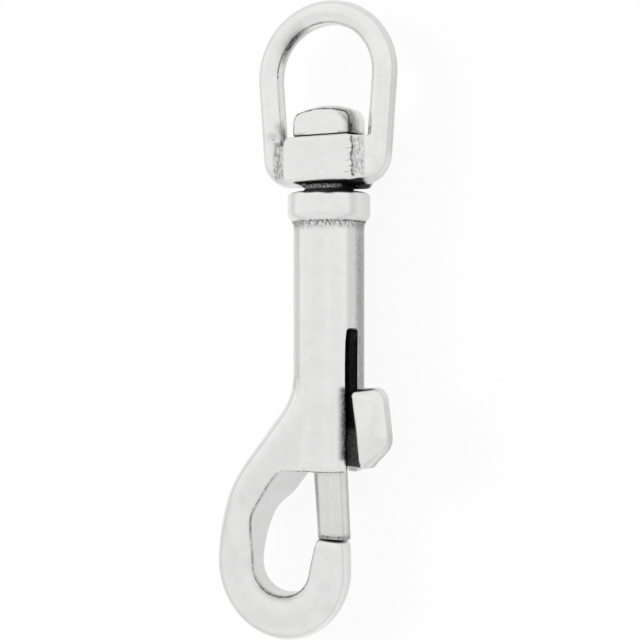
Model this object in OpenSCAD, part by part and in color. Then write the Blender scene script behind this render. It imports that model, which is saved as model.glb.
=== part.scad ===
/* [Barrel] */
// Outer diameter of the barrel
barrel_d = 11; // [9.5:0.1:13]
// Length of the barrel from its open mouth to the flange
barrel_len = 38.3; // [36:0.1:46]
// Diameter of the bore that the bolt slides in
bore_d = 6.8; // [6.7:0.1:7.4]
// Metal left above the blind end of the bore
bore_end_wall = 3.3; // [2.5:0.1:5]
// Rounding of the rim at the barrel's mouth
rim_round = 0.6; // [0.3:0.05:1]

/* [Thumb slot] */
// Width of the slot that the thumb piece travels in
slot_w = 2.5; // [2.2:0.1:3]
// Height of the slot's end above the mouth
slot_top = 22.1; // [21:0.1:26]
// Rounding of the two corners at the slot's end
slot_end_r = 0.5; // [0.3:0.1:1]
// Angle of the slot out of the hook's plane, towards the front
slot_turn = 24; // [0:1:40]

/* [Flange and swivel post] */
// Diameter of the round bead under the swivel
flange_d = 12.8; // [12:0.1:14.5]
// Height of the bead
flange_h = 4.5; // [3:0.1:5]
// Rounding of the bead's lower edge
flange_round = 1.3; // [0.6:0.1:1.6]
// Rounding of the bead's upper edge
flange_top_round = 0.6; // [0.4:0.1:1.2]
// Diameter of the neck that carries the eye's collar
neck_d = 7.5; // [7.2:0.1:9]
// Height of the sloping shoulder between the bead and the neck
shoulder_h = 0.8; // [0.5:0.1:1.4]
// Height of the straight part of the neck
neck_h = 0.5; // [0.4:0.1:1.6]
// Diameter of the rivet post through the collar
post_d = 5.5; // [4.5:0.1:6]
// Radial clearance between the post and the collar
swivel_clear = 0.1; // [0.06:0.01:0.1]
// End play of the collar under the rivet head
swivel_play = 0.3; // [0.2:0.05:0.6]
// Gap between the neck and the collar
neck_gap = 0.15; // [0.1:0.05:0.3]

/* [Rivet head] */
// Diameter of the upset head
head_d = 11.1; // [10:0.1:12]
// Height of the upset head
head_h = 4.7; // [3.5:0.1:5.2]
// Distance between the two flats forged on the head
head_flats = 5.9; // [5.6:0.1:7]
// Rounding of the head's shoulder
head_round = 2.7; // [1.5:0.1:3.2]
// Radius of the crown on top of the head
head_crown_r = 12.3; // [10:0.1:25]

/* [Swivel eye] */
// Diameter of the bar that the eye is formed from
eye_bar_d = 4; // [3.4:0.1:4.6]
// Depth of the flat along the inside of the eye's bar
eye_bar_flat = 0.32; // [0.1:0.02:0.4]
// Thickness of the webs beside the collar, as a share of the bar
web_share = 0.9; // [0.6:0.05:0.95]
// Offset of the ring from the collar's middle
ring_x = -0.35; // [-0.5:0.05:0]
// Radius of the arch along the middle of the bar
arch_r = 9.65; // [9.4:0.1:12]
// Height of the arch's centre above the underside of the collar
arch_rise = 16.9; // [16:0.1:22]
// Inward slope of the legs
leg_taper = 4.2; // [0:0.1:6]
// Bend radius of the eye's lower corners along the middle of the bar
eye_corner_r = 2.7; // [2.4:0.1:4]
// How far the ring's lower bar hangs below the collar's front edge
bar_hang = 0.35; // [0:0.05:0.4]
// How far the collar's underside drops towards its back
heel_drop = 0.6; // [0:0.1:0.7]
// Width of the collar block
collar_w = 11.8; // [10.5:0.1:13]
// Depth of the collar block from front to back
collar_d = 8.8; // [8.4:0.1:10.5]
// Height of the collar block
collar_h = 7.1; // [6.5:0.1:8.5]
// Rounding of the collar block's edges
collar_round = 1.3; // [0.8:0.1:1.8]

/* [Hook] */
// Radius of the bend along the middle of the bar
bend_r = 8.1; // [8:0.05:9.5]
// Distance of the bend's centre below the barrel's mouth
bend_drop = 15.4; // [14:0.1:17]
// Radius of the long curve from the bend up to the shoulder
arm_r = 24.7; // [20:0.1:28]
// Steepest slope of the arm where it leaves the barrel
arm_slope = 38.2; // [35:0.1:44]
// Radius of the hollow curve where the arm leaves the barrel
root_r = 11.8; // [9:0.1:15]
// Offset of the arm's root from the barrel's axis
root_x = 2.25; // [1.4:0.05:2.4]
// Width of the bar at the shoulder
root_w = 5.9; // [5.6:0.1:6.4]
// Fill on the inner side where the arm meets the barrel's mouth
crotch_fill = 1; // [0:0.1:1.2]
// Width of the bar at the side of the hook
arm_w = 7; // [5.5:0.1:7.5]
// Width of the bar at the bottom of the bend
bend_w = 7.2; // [6:0.1:8]
// Width of the bar below the tip
tip_w = 6.1; // [4.8:0.1:6.5]
// Width of the bar at the tip
tip_end_w = 4.7; // [4.2:0.1:5.5]
// Depth of the arm between its inner edges at the shoulder
root_depth = 9.7; // [9:0.1:10.6]
// Depth of the bar between its inner edges at the side of the hook
arm_depth = 3.7; // [3.4:0.1:6]
// Depth of the bar between its inner edges at the bottom of the bend
bend_depth = 3.9; // [3.4:0.1:6]
// Depth of the bar between its inner edges at the tip
tip_depth = 4.2; // [3.4:0.1:5.4]
// Crown of the bar's front and back faces above its inner edges
face_crown = 0.55; // [0.2:0.05:0.9]
// Distance of the tip's end below the barrel's mouth
tip_drop = 10.5; // [10:0.1:12]
// Offset of the tip from the barrel's axis
tip_x = 0.95; // [0:0.05:1]
// Lean of the tip away from the opening
tip_lean = 6; // [0:0.5:7]

/* [Bolt] */
// Radial clearance of the shank in the bore
shank_clear = 0.1; // [0.06:0.01:0.1]
// Diameter of the bolt's nose at the barrel's mouth
nose_d = 5.3; // [4.6:0.1:5.4]
// Diameter of the bolt's nose at its end
nose_end_d = 5; // [4.4:0.05:5.1]
// Lean of the nose towards the hook's tip
nose_lean = 3.4; // [0:0.1:3.6]
// Offset of the nose at the barrel's mouth
nose_x = 0.3; // [0:0.05:0.35]
// Radius of the hollow across the end of the nose
nose_hollow_r = 12; // [8:0.5:20]
// Gap between the nose and the hook's tip
nose_gap = 0.3; // [0.25:0.05:0.5]
// Height of the shank's top above the mouth
shank_top = 13.5; // [12.5:0.1:15]

/* [Thumb piece] */
// Side clearance of the thumb piece's web in the slot
web_clear = 0.15; // [0.1:0.05:0.3]
// Height of the web's lower end above the mouth
web_low = 0.9; // [0.6:0.1:2]
// Height of the web's upper end above the mouth
web_high = 7; // [6:0.1:9]
// Height of the thumb plate's upper edge above the mouth
fin_high = 12.9; // [12:0.1:13.4]
// Height of the thumb plate's lower edge above the mouth
fin_low = 0.6; // [0:0.1:1.2]
// Rise of the thumb plate's lower edge towards its outer corner
fin_rake = 1.4; // [0.6:0.1:2]
// Thickness of the thumb plate
fin_t = 2.9; // [2.6:0.1:3.6]
// Swell of the thumb plate's faces
fin_crown = 0.25; // [0.1:0.05:0.5]
// Reach of the thumb plate from the barrel's axis
fin_reach = 13.1; // [12.5:0.1:15]
// Radius of the thumb plate's lower outer corner
fin_corner_r = 3.2; // [2:0.1:3.4]
// Gap between the barrel and the thumb plate's upper end
fin_gap = 0.8; // [0.5:0.1:1.5]
// Slope of the thumb plate's inner edge, over its height
fin_slope = 1.5; // [0.5:0.1:2]

/* [Spring] */
// Diameter of the spring's wire
wire_d = 0.6; // [0.5:0.05:0.8]
// Gap between the spring and the bore
spring_gap = 0.4; // [0.3:0.05:0.6]
// Number of turns in the spring
spring_turns = 9; // [7:1:11]

/* [Hidden] */
$fn = 64;

// Heights along the barrel's axis, measured from its mouth
bore_top = barrel_len - bore_end_wall;
flange_top = barrel_len + flange_h;
neck_top = flange_top + shoulder_h + neck_h;
collar_low = neck_top + neck_gap;
collar_top = collar_low + collar_h;
head_low = collar_top + swivel_play;
head_top = head_low + head_h;
arch_y = collar_low + arch_rise;

// Middle line of the hook's bar
bend_y = -bend_drop;
tip_top = -tip_drop;
tip_foot_x = tip_x - (tip_top - bend_y) * tan(tip_lean);
bend_x = tip_foot_x - bend_r * cos(tip_lean);
arm_x = bend_x - bend_r;
arm_low = [arm_x + arm_r, bend_y];
arm_end = arm_low + arm_r * aim(180 - arm_slope);
climb = max(0.2, (-root_x - arm_end[0] - root_r * (1 - cos(arm_slope))) / sin(arm_slope));
root_low = arm_end + climb * [sin(arm_slope), cos(arm_slope)];
root_mid = root_low + root_r * aim(180 - arm_slope);

// The row's origin lies under the middle of the whole object
fin_edge = 1.1;
x_low = arm_x - arm_w / 2;
fin_tip_x = fin_reach * cos(slot_turn) + (fin_t - fin_edge) / 2 * sin(slot_turn);
x_high = max(arch_r + eye_bar_d / 2 + ring_x, fin_tip_x);
y_low = bend_y - bend_r - bend_w / 2;
y_high = arch_y + arch_r + eye_bar_d / 2;
z_low = -flange_d / 2;
origin = [(x_low + x_high) / 2, (y_low + y_high) / 2, z_low];

function aim(a) = [cos(a), sin(a)];
function ease(a, b, t) = a + (b - a) * (1 - cos(180 * min(1, max(0, t)))) / 2;

module upright(y) { translate([0, y, 0]) rotate([-90, 0, 0]) children(); }
module placed() { translate(-origin) children(); }

// Bar of the hook: each station is
// [angle of the outward side, middle point, width, inner depth, scale, fill on the inner side]
root_steps = 6;
arm_steps = 9;
bend_steps = 24;
root_stations = [for (i = [0 : root_steps])
    let (a = 180 - arm_slope * i / root_steps)
    [a, root_mid - root_r * aim(a), root_w, root_depth * ease(0.84, 1, i / root_steps), 1, crotch_fill]];
arm_stations = [for (i = [0 : arm_steps])
    let (t = i / arm_steps, a = 180 - arm_slope * (1 - t))
    [a, arm_low + arm_r * aim(a), ease(root_w, arm_w, (t - 0.35) / 0.65),
        ease(root_depth, arm_depth, (t - 0.2) / 0.8), 1, ease(crotch_fill, 0, t / 0.45)]];
bend_stations = [for (i = [1 : bend_steps])
    let (t = i / bend_steps, a = 180 + (180 - tip_lean) * t)
    [a, [bend_x, bend_y] + bend_r * aim(a),
        t < 0.5 ? ease(arm_w, bend_w, 2 * t) : ease(bend_w, tip_w, 2 * t - 1),
        t < 0.5 ? ease(arm_depth, bend_depth, 2 * t) : ease(bend_depth, tip_depth, 2 * t - 1), 1, 0]];
tip_rows = [[0.35, 1], [0.7, 1], [0.84, 0.97], [0.92, 0.9], [0.975, 0.77], [1, 0.55]];
tip_stations = [for (row = tip_rows)
    let (p = bend_stations[bend_steps - 1][1], rise = tip_top - p[1])
    [360 - tip_lean, p + row[0] * rise * [tan(tip_lean), 1], ease(tip_w, tip_end_w, row[0]), tip_depth, row[1], 0]];
hook_stations = concat(root_stations, arm_stations, bend_stations, tip_stations);

// Section of the bar: flat inside with crisp edges, crowned faces, round outside
outer_points = 12;
face_points = 3;
function bar_section(w, depth, k, fill) = let (
    h = depth / 2,
    top = h + face_crown,
    edge = 0.25,
    inner = -w / 2 - fill,
    front = [for (i = [1 : face_points])
        let (u = inner * (1 - i / (face_points + 1)))
        [u, h + face_crown * sin(90 * i / (face_points + 1))]],
    outer = [for (i = [0 : outer_points])
        let (a = 90 - 180 * i / outer_points, c = cos(a), s = sin(a))
        [w / 2 * pow(abs(c), 0.85), top * sign(s) * pow(abs(s), 0.85)]],
    back = [for (i = [face_points : -1 : 1]) [front[i - 1][0], -front[i - 1][1]]]
  ) [for (p = concat(
        [[inner, -h + edge], [inner, h - edge], [inner + edge, h + 0.05]],
        front, outer, back,
        [[inner + edge, -h - 0.05]])) k * p];

function station_ring(s) = [for (p = bar_section(s[2], s[3], s[4], s[5]))
    [s[1][0] + p[0] * cos(s[0]), s[1][1] + p[0] * sin(s[0]), -p[1]]];

// Skin over a row of rings, closed by end faces or by joining the last ring to the first
module lofted(rings, closed = false) {
    n = len(rings[0]);
    m = len(rings);
    skin = [for (i = [0 : closed ? m - 1 : m - 2], j = [0 : n - 1])
        let (k = (i + 1) % m, l = (j + 1) % n) [i * n + j, i * n + l, k * n + l, k * n + j]];
    ends = closed ? [] : [[for (j = [n - 1 : -1 : 0]) j], [for (j = [0 : n - 1]) (m - 1) * n + j]];
    polyhedron(points = [for (r = rings) each r], faces = concat(skin, ends), convexity = 6);
}

module hook_bar() { lofted([for (s = hook_stations) station_ring(s)]); }

// Profile of a turned disc with a rounded lower edge and a rounded upper edge
module rounded_disc(r, h, low_e, top_e) {
    square([r - low_e, h - top_e]);
    square([r - top_e, h - low_e]);
    translate([0, low_e]) square([r - top_e, h - low_e]);
    translate([0, low_e]) square([r, h - low_e - top_e]);
    translate([r - low_e, low_e]) circle(low_e);
    translate([r - top_e, h - top_e]) circle(top_e);
}

module barrel_shape() {
    upright(0) rotate_extrude() union() {
        translate([0, rim_round]) square([barrel_d / 2, barrel_len]);
        square([barrel_d / 2 - rim_round, barrel_len]);
        translate([barrel_d / 2 - rim_round, rim_round]) circle(rim_round);
    }
    upright(barrel_len) rotate_extrude() rounded_disc(flange_d / 2, flange_h, flange_round, flange_top_round);
    upright(flange_top) cylinder(r1 = flange_d / 2 - flange_top_round, r2 = neck_d / 2, h = shoulder_h);
    upright(flange_top) cylinder(d = neck_d, h = shoulder_h + neck_h);
    upright(neck_top - 1) cylinder(d = post_d, h = head_low - neck_top + 2);
}

module rivet_head() {
    intersection() {
        upright(head_low) rotate_extrude() intersection() {
            union() {
                square([head_d / 2 - head_round, head_h]);
                square([head_d / 2, head_h - head_round]);
                translate([head_d / 2 - head_round, head_h - head_round]) circle(head_round);
            }
            square([head_d, head_h]);
            translate([0, head_h - head_crown_r]) circle(head_crown_r, $fn = 128);
        }
        translate([-head_d, head_low - 1, -head_flats / 2]) cube([2 * head_d, head_h + 2, head_flats]);
    }
}

module thumb_slot() {
    rotate([0, -slot_turn, 0]) {
        translate([0, -1, -slot_w / 2]) cube([barrel_d, slot_top - slot_end_r + 1, slot_w]);
        translate([0, 0, -slot_w / 2 + slot_end_r]) cube([barrel_d, slot_top, slot_w - 2 * slot_end_r]);
        for (side = [-1, 1]) translate([0, slot_top - slot_end_r, side * (slot_w / 2 - slot_end_r)])
            rotate([0, 90, 0]) cylinder(r = slot_end_r, h = barrel_d);
    }
}

module body() {
    color("gainsboro") placed() difference() {
        union() {
            barrel_shape();
            rivet_head();
            hook_bar();
        }
        upright(-1) cylinder(d = bore_d, h = bore_top + 1);
        thumb_slot();
    }
}

// Middle line of the eye's bar: each station is [angle of the outward side, middle point]
eye_foot_y = collar_low - bar_hang + eye_bar_d / 2 + eye_corner_r;
eye_side_x = arch_r * cos(leg_taper) - eye_corner_r * cos(leg_taper)
    - (arch_y - eye_foot_y - (arch_r - eye_corner_r) * sin(leg_taper)) * tan(leg_taper);
arch_steps = 26;
corner_steps = 8;
eye_stations = concat(
    [for (i = [0 : arch_steps])
        let (a = -leg_taper + (180 + 2 * leg_taper) * i / arch_steps)
        [a, [0, arch_y] + arch_r * aim(a)]],
    [for (i = [0 : corner_steps])
        let (a = 180 + leg_taper + (90 - leg_taper) * i / corner_steps)
        [a, [-eye_side_x, eye_foot_y] + eye_corner_r * aim(a)]],
    [for (i = [0 : corner_steps])
        let (a = 270 + (90 - leg_taper) * i / corner_steps)
        [a, [eye_side_x, eye_foot_y] + eye_corner_r * aim(a)]]);

// Section of the eye's bar, round with a flat along its inside
bar_points = 15;
function eye_section() = let (r = eye_bar_d / 2, half = acos((r - eye_bar_flat) / r))
    [for (j = [0 : bar_points]) let (a = 180 - half - (360 - 2 * half) * j / bar_points) [r * cos(a), -r * sin(a)]];
function eye_ring(s) = [for (p = eye_section()) [s[1][0] + p[0] * cos(s[0]), s[1][1] + p[0] * sin(s[0]), p[1]]];

module eye_bar() { lofted([for (s = eye_stations) eye_ring(s)], closed = true); }

// Webs that join the bar to the two sides of the collar
module collar_webs() {
    low = eye_foot_y - eye_corner_r;
    side = eye_side_x + eye_corner_r;
    for (m = [0, 1]) mirror([m, 0, 0]) linear_extrude(web_share * eye_bar_d, center = true)
        polygon([[0, low], [eye_side_x, low], [side - 0.4, eye_foot_y], [side - 0.2, collar_top - collar_round],
            [collar_w / 2 - 1, collar_top - 0.3], [0, collar_top - 0.3]]);
}

module rounded_box_2d(w, h, e) {
    translate([-w / 2 + e, -h / 2]) square([w - 2 * e, h]);
    translate([-w / 2, -h / 2 + e]) square([w, h - 2 * e]);
    for (x = [-1, 1], y = [-1, 1]) translate([x * (w / 2 - e), y * (h / 2 - e)]) circle(e);
}

// Block around the swivel's bore, with an underside that slopes down to its back
module collar_block() {
    tall = collar_h + heel_drop;
    difference() {
        translate([0, collar_top - tall / 2, 0]) intersection() {
            linear_extrude(2 * collar_d, center = true) rounded_box_2d(collar_w, tall, collar_round);
            rotate([90, 0, 0]) linear_extrude(2 * collar_h, center = true)
                rounded_box_2d(collar_w, collar_d, collar_round);
            rotate([0, 90, 0]) linear_extrude(2 * collar_w, center = true)
                rounded_box_2d(collar_d, tall, collar_round / 2);
        }
        rotate([0, -90, 0]) linear_extrude(2 * collar_w, center = true)
            polygon([[-collar_d / 2, collar_low - heel_drop], [collar_d / 2, collar_low],
                [collar_d, collar_low], [collar_d, collar_low - 2], [-collar_d, collar_low - 2],
                [-collar_d, collar_low - heel_drop]]);
    }
}

module swivel_eye() {
    color("silver") placed() difference() {
        union() {
            translate([ring_x, 0, 0]) eye_bar();
            collar_webs();
            collar_block();
        }
        upright(collar_low - 1) cylinder(d = post_d + 2 * swivel_clear, h = collar_h + 2);
        upright(collar_low - 1) cylinder(d = neck_d + 1, h = 1);
    }
}

// Rounded corner of the thumb plate
module plate_corner(r, t) {
    cylinder(r = r, h = t - fin_edge, center = true);
    cylinder(r = r - 0.2, h = t - 0.5, center = true);
    cylinder(r = r - 0.6, h = t, center = true);
}

module thumb_plate() {
    inner = barrel_d / 2 + fin_gap;
    hull() {
        $fn = 28;
        translate([inner + 0.9, fin_high - 0.9]) plate_corner(0.9, fin_t);
        translate([fin_reach - 2.9, fin_high - 1.5]) plate_corner(1.5, fin_t);
        translate([fin_reach - fin_corner_r, fin_low + fin_rake + fin_corner_r]) plate_corner(fin_corner_r, fin_t);
        translate([inner + fin_slope + 0.9, fin_low + 0.9]) plate_corner(0.9, fin_t);
        translate([fin_reach - 4, (fin_low + fin_high) / 2]) cylinder(r = 1.4, h = fin_t + 2 * fin_crown, center = true);
    }
}

module thumb_web() {
    w = slot_w - 2 * web_clear;
    reach = barrel_d / 2 + fin_gap + fin_slope + 1;
    translate([0, web_low, -w / 2]) cube([reach, web_high - web_low - w / 2, w]);
    translate([0, web_high - w / 2, 0]) rotate([0, 90, 0]) cylinder(d = w, h = reach);
}

module bolt() {
    nose_len = -tip_top - nose_gap;
    color("whitesmoke") placed() difference() {
        union() {
            upright(web_low) cylinder(d = bore_d - 2 * shank_clear, h = shank_top - web_low);
            translate([nose_x, 0, 0]) rotate([0, 0, nose_lean]) upright(-nose_len - 1)
                cylinder(d1 = nose_end_d, d2 = nose_d, h = nose_len + 1 + web_low + 1);
            rotate([0, -slot_turn, 0]) {
                thumb_web();
                thumb_plate();
            }
        }
        translate([nose_x + nose_len * tan(nose_lean), -nose_len - nose_hollow_r, 0])
            cylinder(r = nose_hollow_r, h = 3 * nose_d, center = true);
    }
}

// Compression spring between the bolt's shank and the blind end of the bore
spring_low = shank_top + 0.05;
spring_len = bore_top - 0.05 - spring_low;
coil_r = (bore_d - wire_d) / 2 - spring_gap;
coil_steps = 14;
wire_sides = 6;
function coil_rise(t) = let (dead = 0.75, n = spring_turns, pitch = (spring_len - wire_d - 2 * dead * wire_d) / (n - 2 * dead))
    t < dead ? t * wire_d : t > n - dead ? spring_len - wire_d - (n - t) * wire_d : dead * wire_d + (t - dead) * pitch;
function wire_ring(t) = [for (j = [0 : wire_sides - 1])
    let (a = 360 * j / wire_sides, r = coil_r + wire_d / 2 * cos(a))
    [r * cos(360 * t), spring_low + wire_d / 2 + coil_rise(t) + wire_d / 2 * sin(a), -r * sin(360 * t)]];

module spring() {
    color("dimgray") placed() lofted([for (i = [0 : coil_steps * spring_turns]) wire_ring(i / coil_steps)]);
}

body();
swivel_eye();
bolt();
spring();
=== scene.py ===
import math

import bmesh
import bpy
import numpy as np
from mathutils import Matrix, Vector


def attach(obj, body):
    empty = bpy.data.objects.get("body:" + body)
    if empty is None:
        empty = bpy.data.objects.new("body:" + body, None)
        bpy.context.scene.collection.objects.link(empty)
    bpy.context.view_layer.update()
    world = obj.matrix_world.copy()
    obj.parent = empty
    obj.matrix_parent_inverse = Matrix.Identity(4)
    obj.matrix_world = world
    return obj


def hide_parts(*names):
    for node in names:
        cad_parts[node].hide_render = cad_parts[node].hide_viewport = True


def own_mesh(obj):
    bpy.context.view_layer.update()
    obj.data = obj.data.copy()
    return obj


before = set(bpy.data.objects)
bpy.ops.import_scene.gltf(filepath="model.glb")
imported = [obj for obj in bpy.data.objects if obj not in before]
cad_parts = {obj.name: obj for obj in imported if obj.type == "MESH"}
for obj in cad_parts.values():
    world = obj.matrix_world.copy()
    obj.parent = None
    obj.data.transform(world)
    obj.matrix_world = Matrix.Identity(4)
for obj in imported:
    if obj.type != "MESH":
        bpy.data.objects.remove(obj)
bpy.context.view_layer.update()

# Sizes are in millimetres from the barrel's axis, with Y = 0 at the barrel's open mouth, +Y towards the eye
# and +Z out of the front face. PLACE carries them into the frame.
PLACE = Matrix.Translation((0.0034436, -0.02285, 0.0064)) @ Matrix.Scale(0.001, 4)

# Barrel, bead, neck and rivet post
BARREL_R = 5.5
BARREL_LEN = 38.3
BORE_R = 3.4
BORE_TOP = 35.0
RIM_ROUND = 0.6
FLANGE_R = 6.4
FLANGE_TOP = 42.8
FLANGE_FOOT_R = 1.3
FLANGE_TOP_R = 0.6
NECK_R = 3.75
NECK_LOW = 43.15
NECK_TOP = 44.1
POST_R = 2.75

# Thumb slot, turned from the front face towards +X
SLOT_W = 2.5
SLOT_TOP = 21.8
SLOT_END_R = 0.5
SLOT_MOUTH = -3.0
SLOT_WEAR = 0.2
SLOT_WEAR_FAR = 0.09
SLOT_SPIN = Matrix.Rotation(-math.radians(24), 4, "Y")

# Upset head of the rivet post
HEAD_LOW = 51.65
HEAD_TOP = 56.35
HEAD_R = 5.55
HEAD_ROUND = 2.7
HEAD_FLATS = 5.9
HEAD_CROWN_R = 12.3
HEAD_LEAN = 0.45

# Hook: root, arm, bend and tip of one bar
BEND_R = 8.1
BEND_DROP = 15.4
ARM_R = 24.7
ARM_SLOPE = math.radians(38.2)
ROOT_R = 11.8
ROOT_X = 2.25
ROOT_W = 5.9
ARM_W = 7.0
BEND_W = 7.2
TIP_W = 6.1
TIP_END_W = 4.7
ROOT_DEPTH = 9.7
ROOT_START = 0.84
ARM_DEPTH = 3.7
BEND_DEPTH = 3.9
TIP_DEPTH = 4.2
TIP_DROP = 10.5
TIP_X = 0.95
TIP_LEAN = math.radians(6)
CROWN = 0.55
EDGE_ROUND = 0.22
FRONT_FILL = ((0.0, 0.4), (0.15, 0.5), (0.25, 0.42), (0.45, 0.0))
BACK_FILL = ((0.0, 0.97), (0.1, 0.85), (0.2, 0.6), (0.3, 0.2), (0.4, 0.0))
TIP_ROUND = ((0.12, 1), (0.25, 1), (0.4, 1), (0.55, 1), (0.7, 0.995), (0.78, 0.985), (0.85, 0.965),
             (0.9, 0.93), (0.94, 0.87), (0.97, 0.78), (0.987, 0.66), (0.996, 0.5), (1.0, 0.3))
ROOT_STEPS = 14
ARM_STEPS = 30
BEND_STEPS = 60

# Swivel eye and its collar
COLLAR_LOW = 44.25
COLLAR_TOP = 51.35
COLLAR_W = 11.8
COLLAR_D = 8.8
COLLAR_ROUND = 1.105
COLLAR_RIM = 0.55
HEEL = 0.6
EYE_BAR_R = 2.0
EYE_FLAT = 0.32
RING_X = -0.35
ARCH_R = 9.65
ARCH_Y = COLLAR_LOW + 16.9
LEG_TAPER = math.radians(4.2)
CORNER_R = 2.7
BAR_HANG = 0.35
FOOT_Y = COLLAR_LOW - BAR_HANG + EYE_BAR_R + CORNER_R
LEG_DROP = ARCH_Y - FOOT_Y - (ARCH_R - CORNER_R) * math.sin(LEG_TAPER)
SIDE_X = (ARCH_R - CORNER_R) * math.cos(LEG_TAPER) - LEG_DROP * math.tan(LEG_TAPER)
ARCH_STEPS = 72
LEG_STEPS = 15
CORNER_STEPS = 18
FOOT_STEPS = 12
BAR_SIDES = 32
POST_PLAY = 0.1
NECK_PLAY = 0.5

# Bolt: shank, nose, web through the slot and thumb plate
SHANK_R = 3.3
SHANK_TOP = 13.5
WEB_LOW = 0.9
WEB_HIGH = 7.0
WEB_PLAY = 0.15
WEB_REACH = BARREL_R + 3.3
NOSE_R = 2.65
NOSE_END_R = 2.5
NOSE_X = 0.3
NOSE_LEAN = math.radians(3.4)
NOSE_LEN = TIP_DROP - 0.14
HOLLOW_R = 12.0
FIN_LOW = 1.0
FIN_HIGH = 13.1
FIN_T = 2.9
FIN_REACH = 13.1
FIN_INNER = BARREL_R + 1.25
FIN_SLOPE = 1.6
FIN_RAKE = 1.9
FIN_TOP_CORNER_R = 2.2
FIN_CORNER_R = 2.8
FIN_SMALL_R = 0.5
FIN_ROUND = ((0.0, 2.4), (0.05, 1.95), (0.18, 1.54), (0.4, 1.14), (0.8, 0.7), (1.3, 0.35), (1.9, 0.1),
             (2.6, 0.0))

# Spring in the bore
WIRE_R = 0.3
SPRING_R = BORE_R - WIRE_R - 0.4
SPRING_LOW = SHANK_TOP + 0.05
SPRING_LEN = BORE_TOP - 0.05 - SPRING_LOW
TURNS = 9
STEPS_PER_TURN = 24

# Grain of the castings' skins
BODY_GRAIN = 0.21
EYE_GRAIN = 0.145
BOLT_GRAIN = 0.14


def aim(a):
    return Vector((math.cos(a), math.sin(a)))


def ease(a, b, t):
    t = min(1.0, max(0.0, t))
    return a + (b - a) * (1 - math.cos(math.pi * t)) / 2


def arc(cx, cy, r, a0, a1, n):
    angles = [math.radians(a0 + (a1 - a0) * i / n) for i in range(n + 1)]
    return [(cx + r * math.cos(a), cy + r * math.sin(a)) for a in angles]


def sweep(bm, rings, closed=False):
    """Extrudes the first ring from station to station and closes the two ends, or joins them."""
    ring = [bm.verts.new(p) for p in rings[0]]
    n = len(ring)
    edges = [bm.edges.new((ring[i], ring[(i + 1) % n])) for i in range(n)]
    first = list(ring)
    first_edges = list(edges)
    for points in rings[1:]:
        place = {v: i for i, v in enumerate(ring)}
        geom = bmesh.ops.extrude_edge_only(bm, edges=edges)["geom"]
        fresh = [None] * n
        for v in (g for g in geom if isinstance(g, bmesh.types.BMVert)):
            for e in v.link_edges:
                i = place.get(e.other_vert(v))
                if i is not None:
                    fresh[i] = v
        for v, p in zip(fresh, points):
            v.co = p
        ring = fresh
        edges = [bm.edges.get((ring[i], ring[(i + 1) % n])) for i in range(n)]
    if closed:
        bmesh.ops.bridge_loops(bm, edges=edges + first_edges)
    else:
        bm.faces.new(list(reversed(first)))
        bm.faces.new(ring)
    bmesh.ops.recalc_face_normals(bm, faces=bm.faces[:])


def lathe(bm, profile, steps=96):
    """Turns a profile of (radius, height) round the barrel's axis; it starts and ends on the axis."""
    verts = [bm.verts.new((r, y, 0.0)) for r, y in profile]
    edges = [bm.edges.new((a, b)) for a, b in zip(verts, verts[1:])]
    bmesh.ops.spin(bm, geom=verts + edges, cent=(0, 0, 0), axis=(0, 1, 0), angle=2 * math.pi, steps=steps,
                   use_merge=True)
    bmesh.ops.remove_doubles(bm, verts=bm.verts[:], dist=1e-4)
    bmesh.ops.recalc_face_normals(bm, faces=bm.faces[:])


def draw_out(bm, outline, reach):
    """Extrudes a flat outline by the vector reach and gives the points of its far side."""
    face = bm.faces.new([bm.verts.new(p) for p in outline])
    moved = bmesh.ops.extrude_face_region(bm, geom=[face])["geom"]
    far = [g for g in moved if isinstance(g, bmesh.types.BMVert)]
    bmesh.ops.translate(bm, vec=reach, verts=far)
    return far


def rod(bm, r1, r2, a, b, segments=64):
    """Cone or cylinder with its ends at a and b."""
    a, b = Vector(a), Vector(b)
    d = b - a
    made = bmesh.ops.create_cone(bm, cap_ends=True, cap_tris=False, segments=segments, radius1=r1, radius2=r2,
                                 depth=d.length)["verts"]
    turn = d.to_track_quat("Z", "Y").to_matrix().to_4x4()
    bmesh.ops.transform(bm, matrix=Matrix.Translation((a + b) / 2) @ turn, verts=made)


def drill(r, low, high):
    """Cutter for a round hole on the barrel's axis."""
    return object_from("drill", lambda bm: rod(bm, r, r, (0, low, 0), (0, high, 0)))


def object_from(name, *builders):
    """One object of several closed shells; each builder fills a bmesh of its own."""
    whole = bpy.data.meshes.new(name)
    joined = bmesh.new()
    for build in builders:
        bm = bmesh.new()
        build(bm)
        part = bpy.data.meshes.new("part")
        bm.to_mesh(part)
        bm.free()
        joined.from_mesh(part)
        bpy.data.meshes.remove(part)
    joined.to_mesh(whole)
    joined.free()
    o = bpy.data.objects.new(name, whole)
    bpy.context.scene.collection.objects.link(o)
    return o


def settle(o):
    """Applies the object's modifiers to its mesh."""
    graph = bpy.context.evaluated_depsgraph_get()
    graph.update()
    mesh = bpy.data.meshes.new_from_object(o.evaluated_get(graph))
    old = o.data
    o.modifiers.clear()
    o.data = mesh
    bpy.data.meshes.remove(old)


def cast(o, grain):
    """Melts the shells of one casting into a single skin."""
    m = o.modifiers.new("skin", "REMESH")
    m.mode = "VOXEL"
    m.voxel_size = grain
    s = o.modifiers.new("soften", "SMOOTH")
    s.factor = 0.5
    s.iterations = 3
    settle(o)


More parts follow.
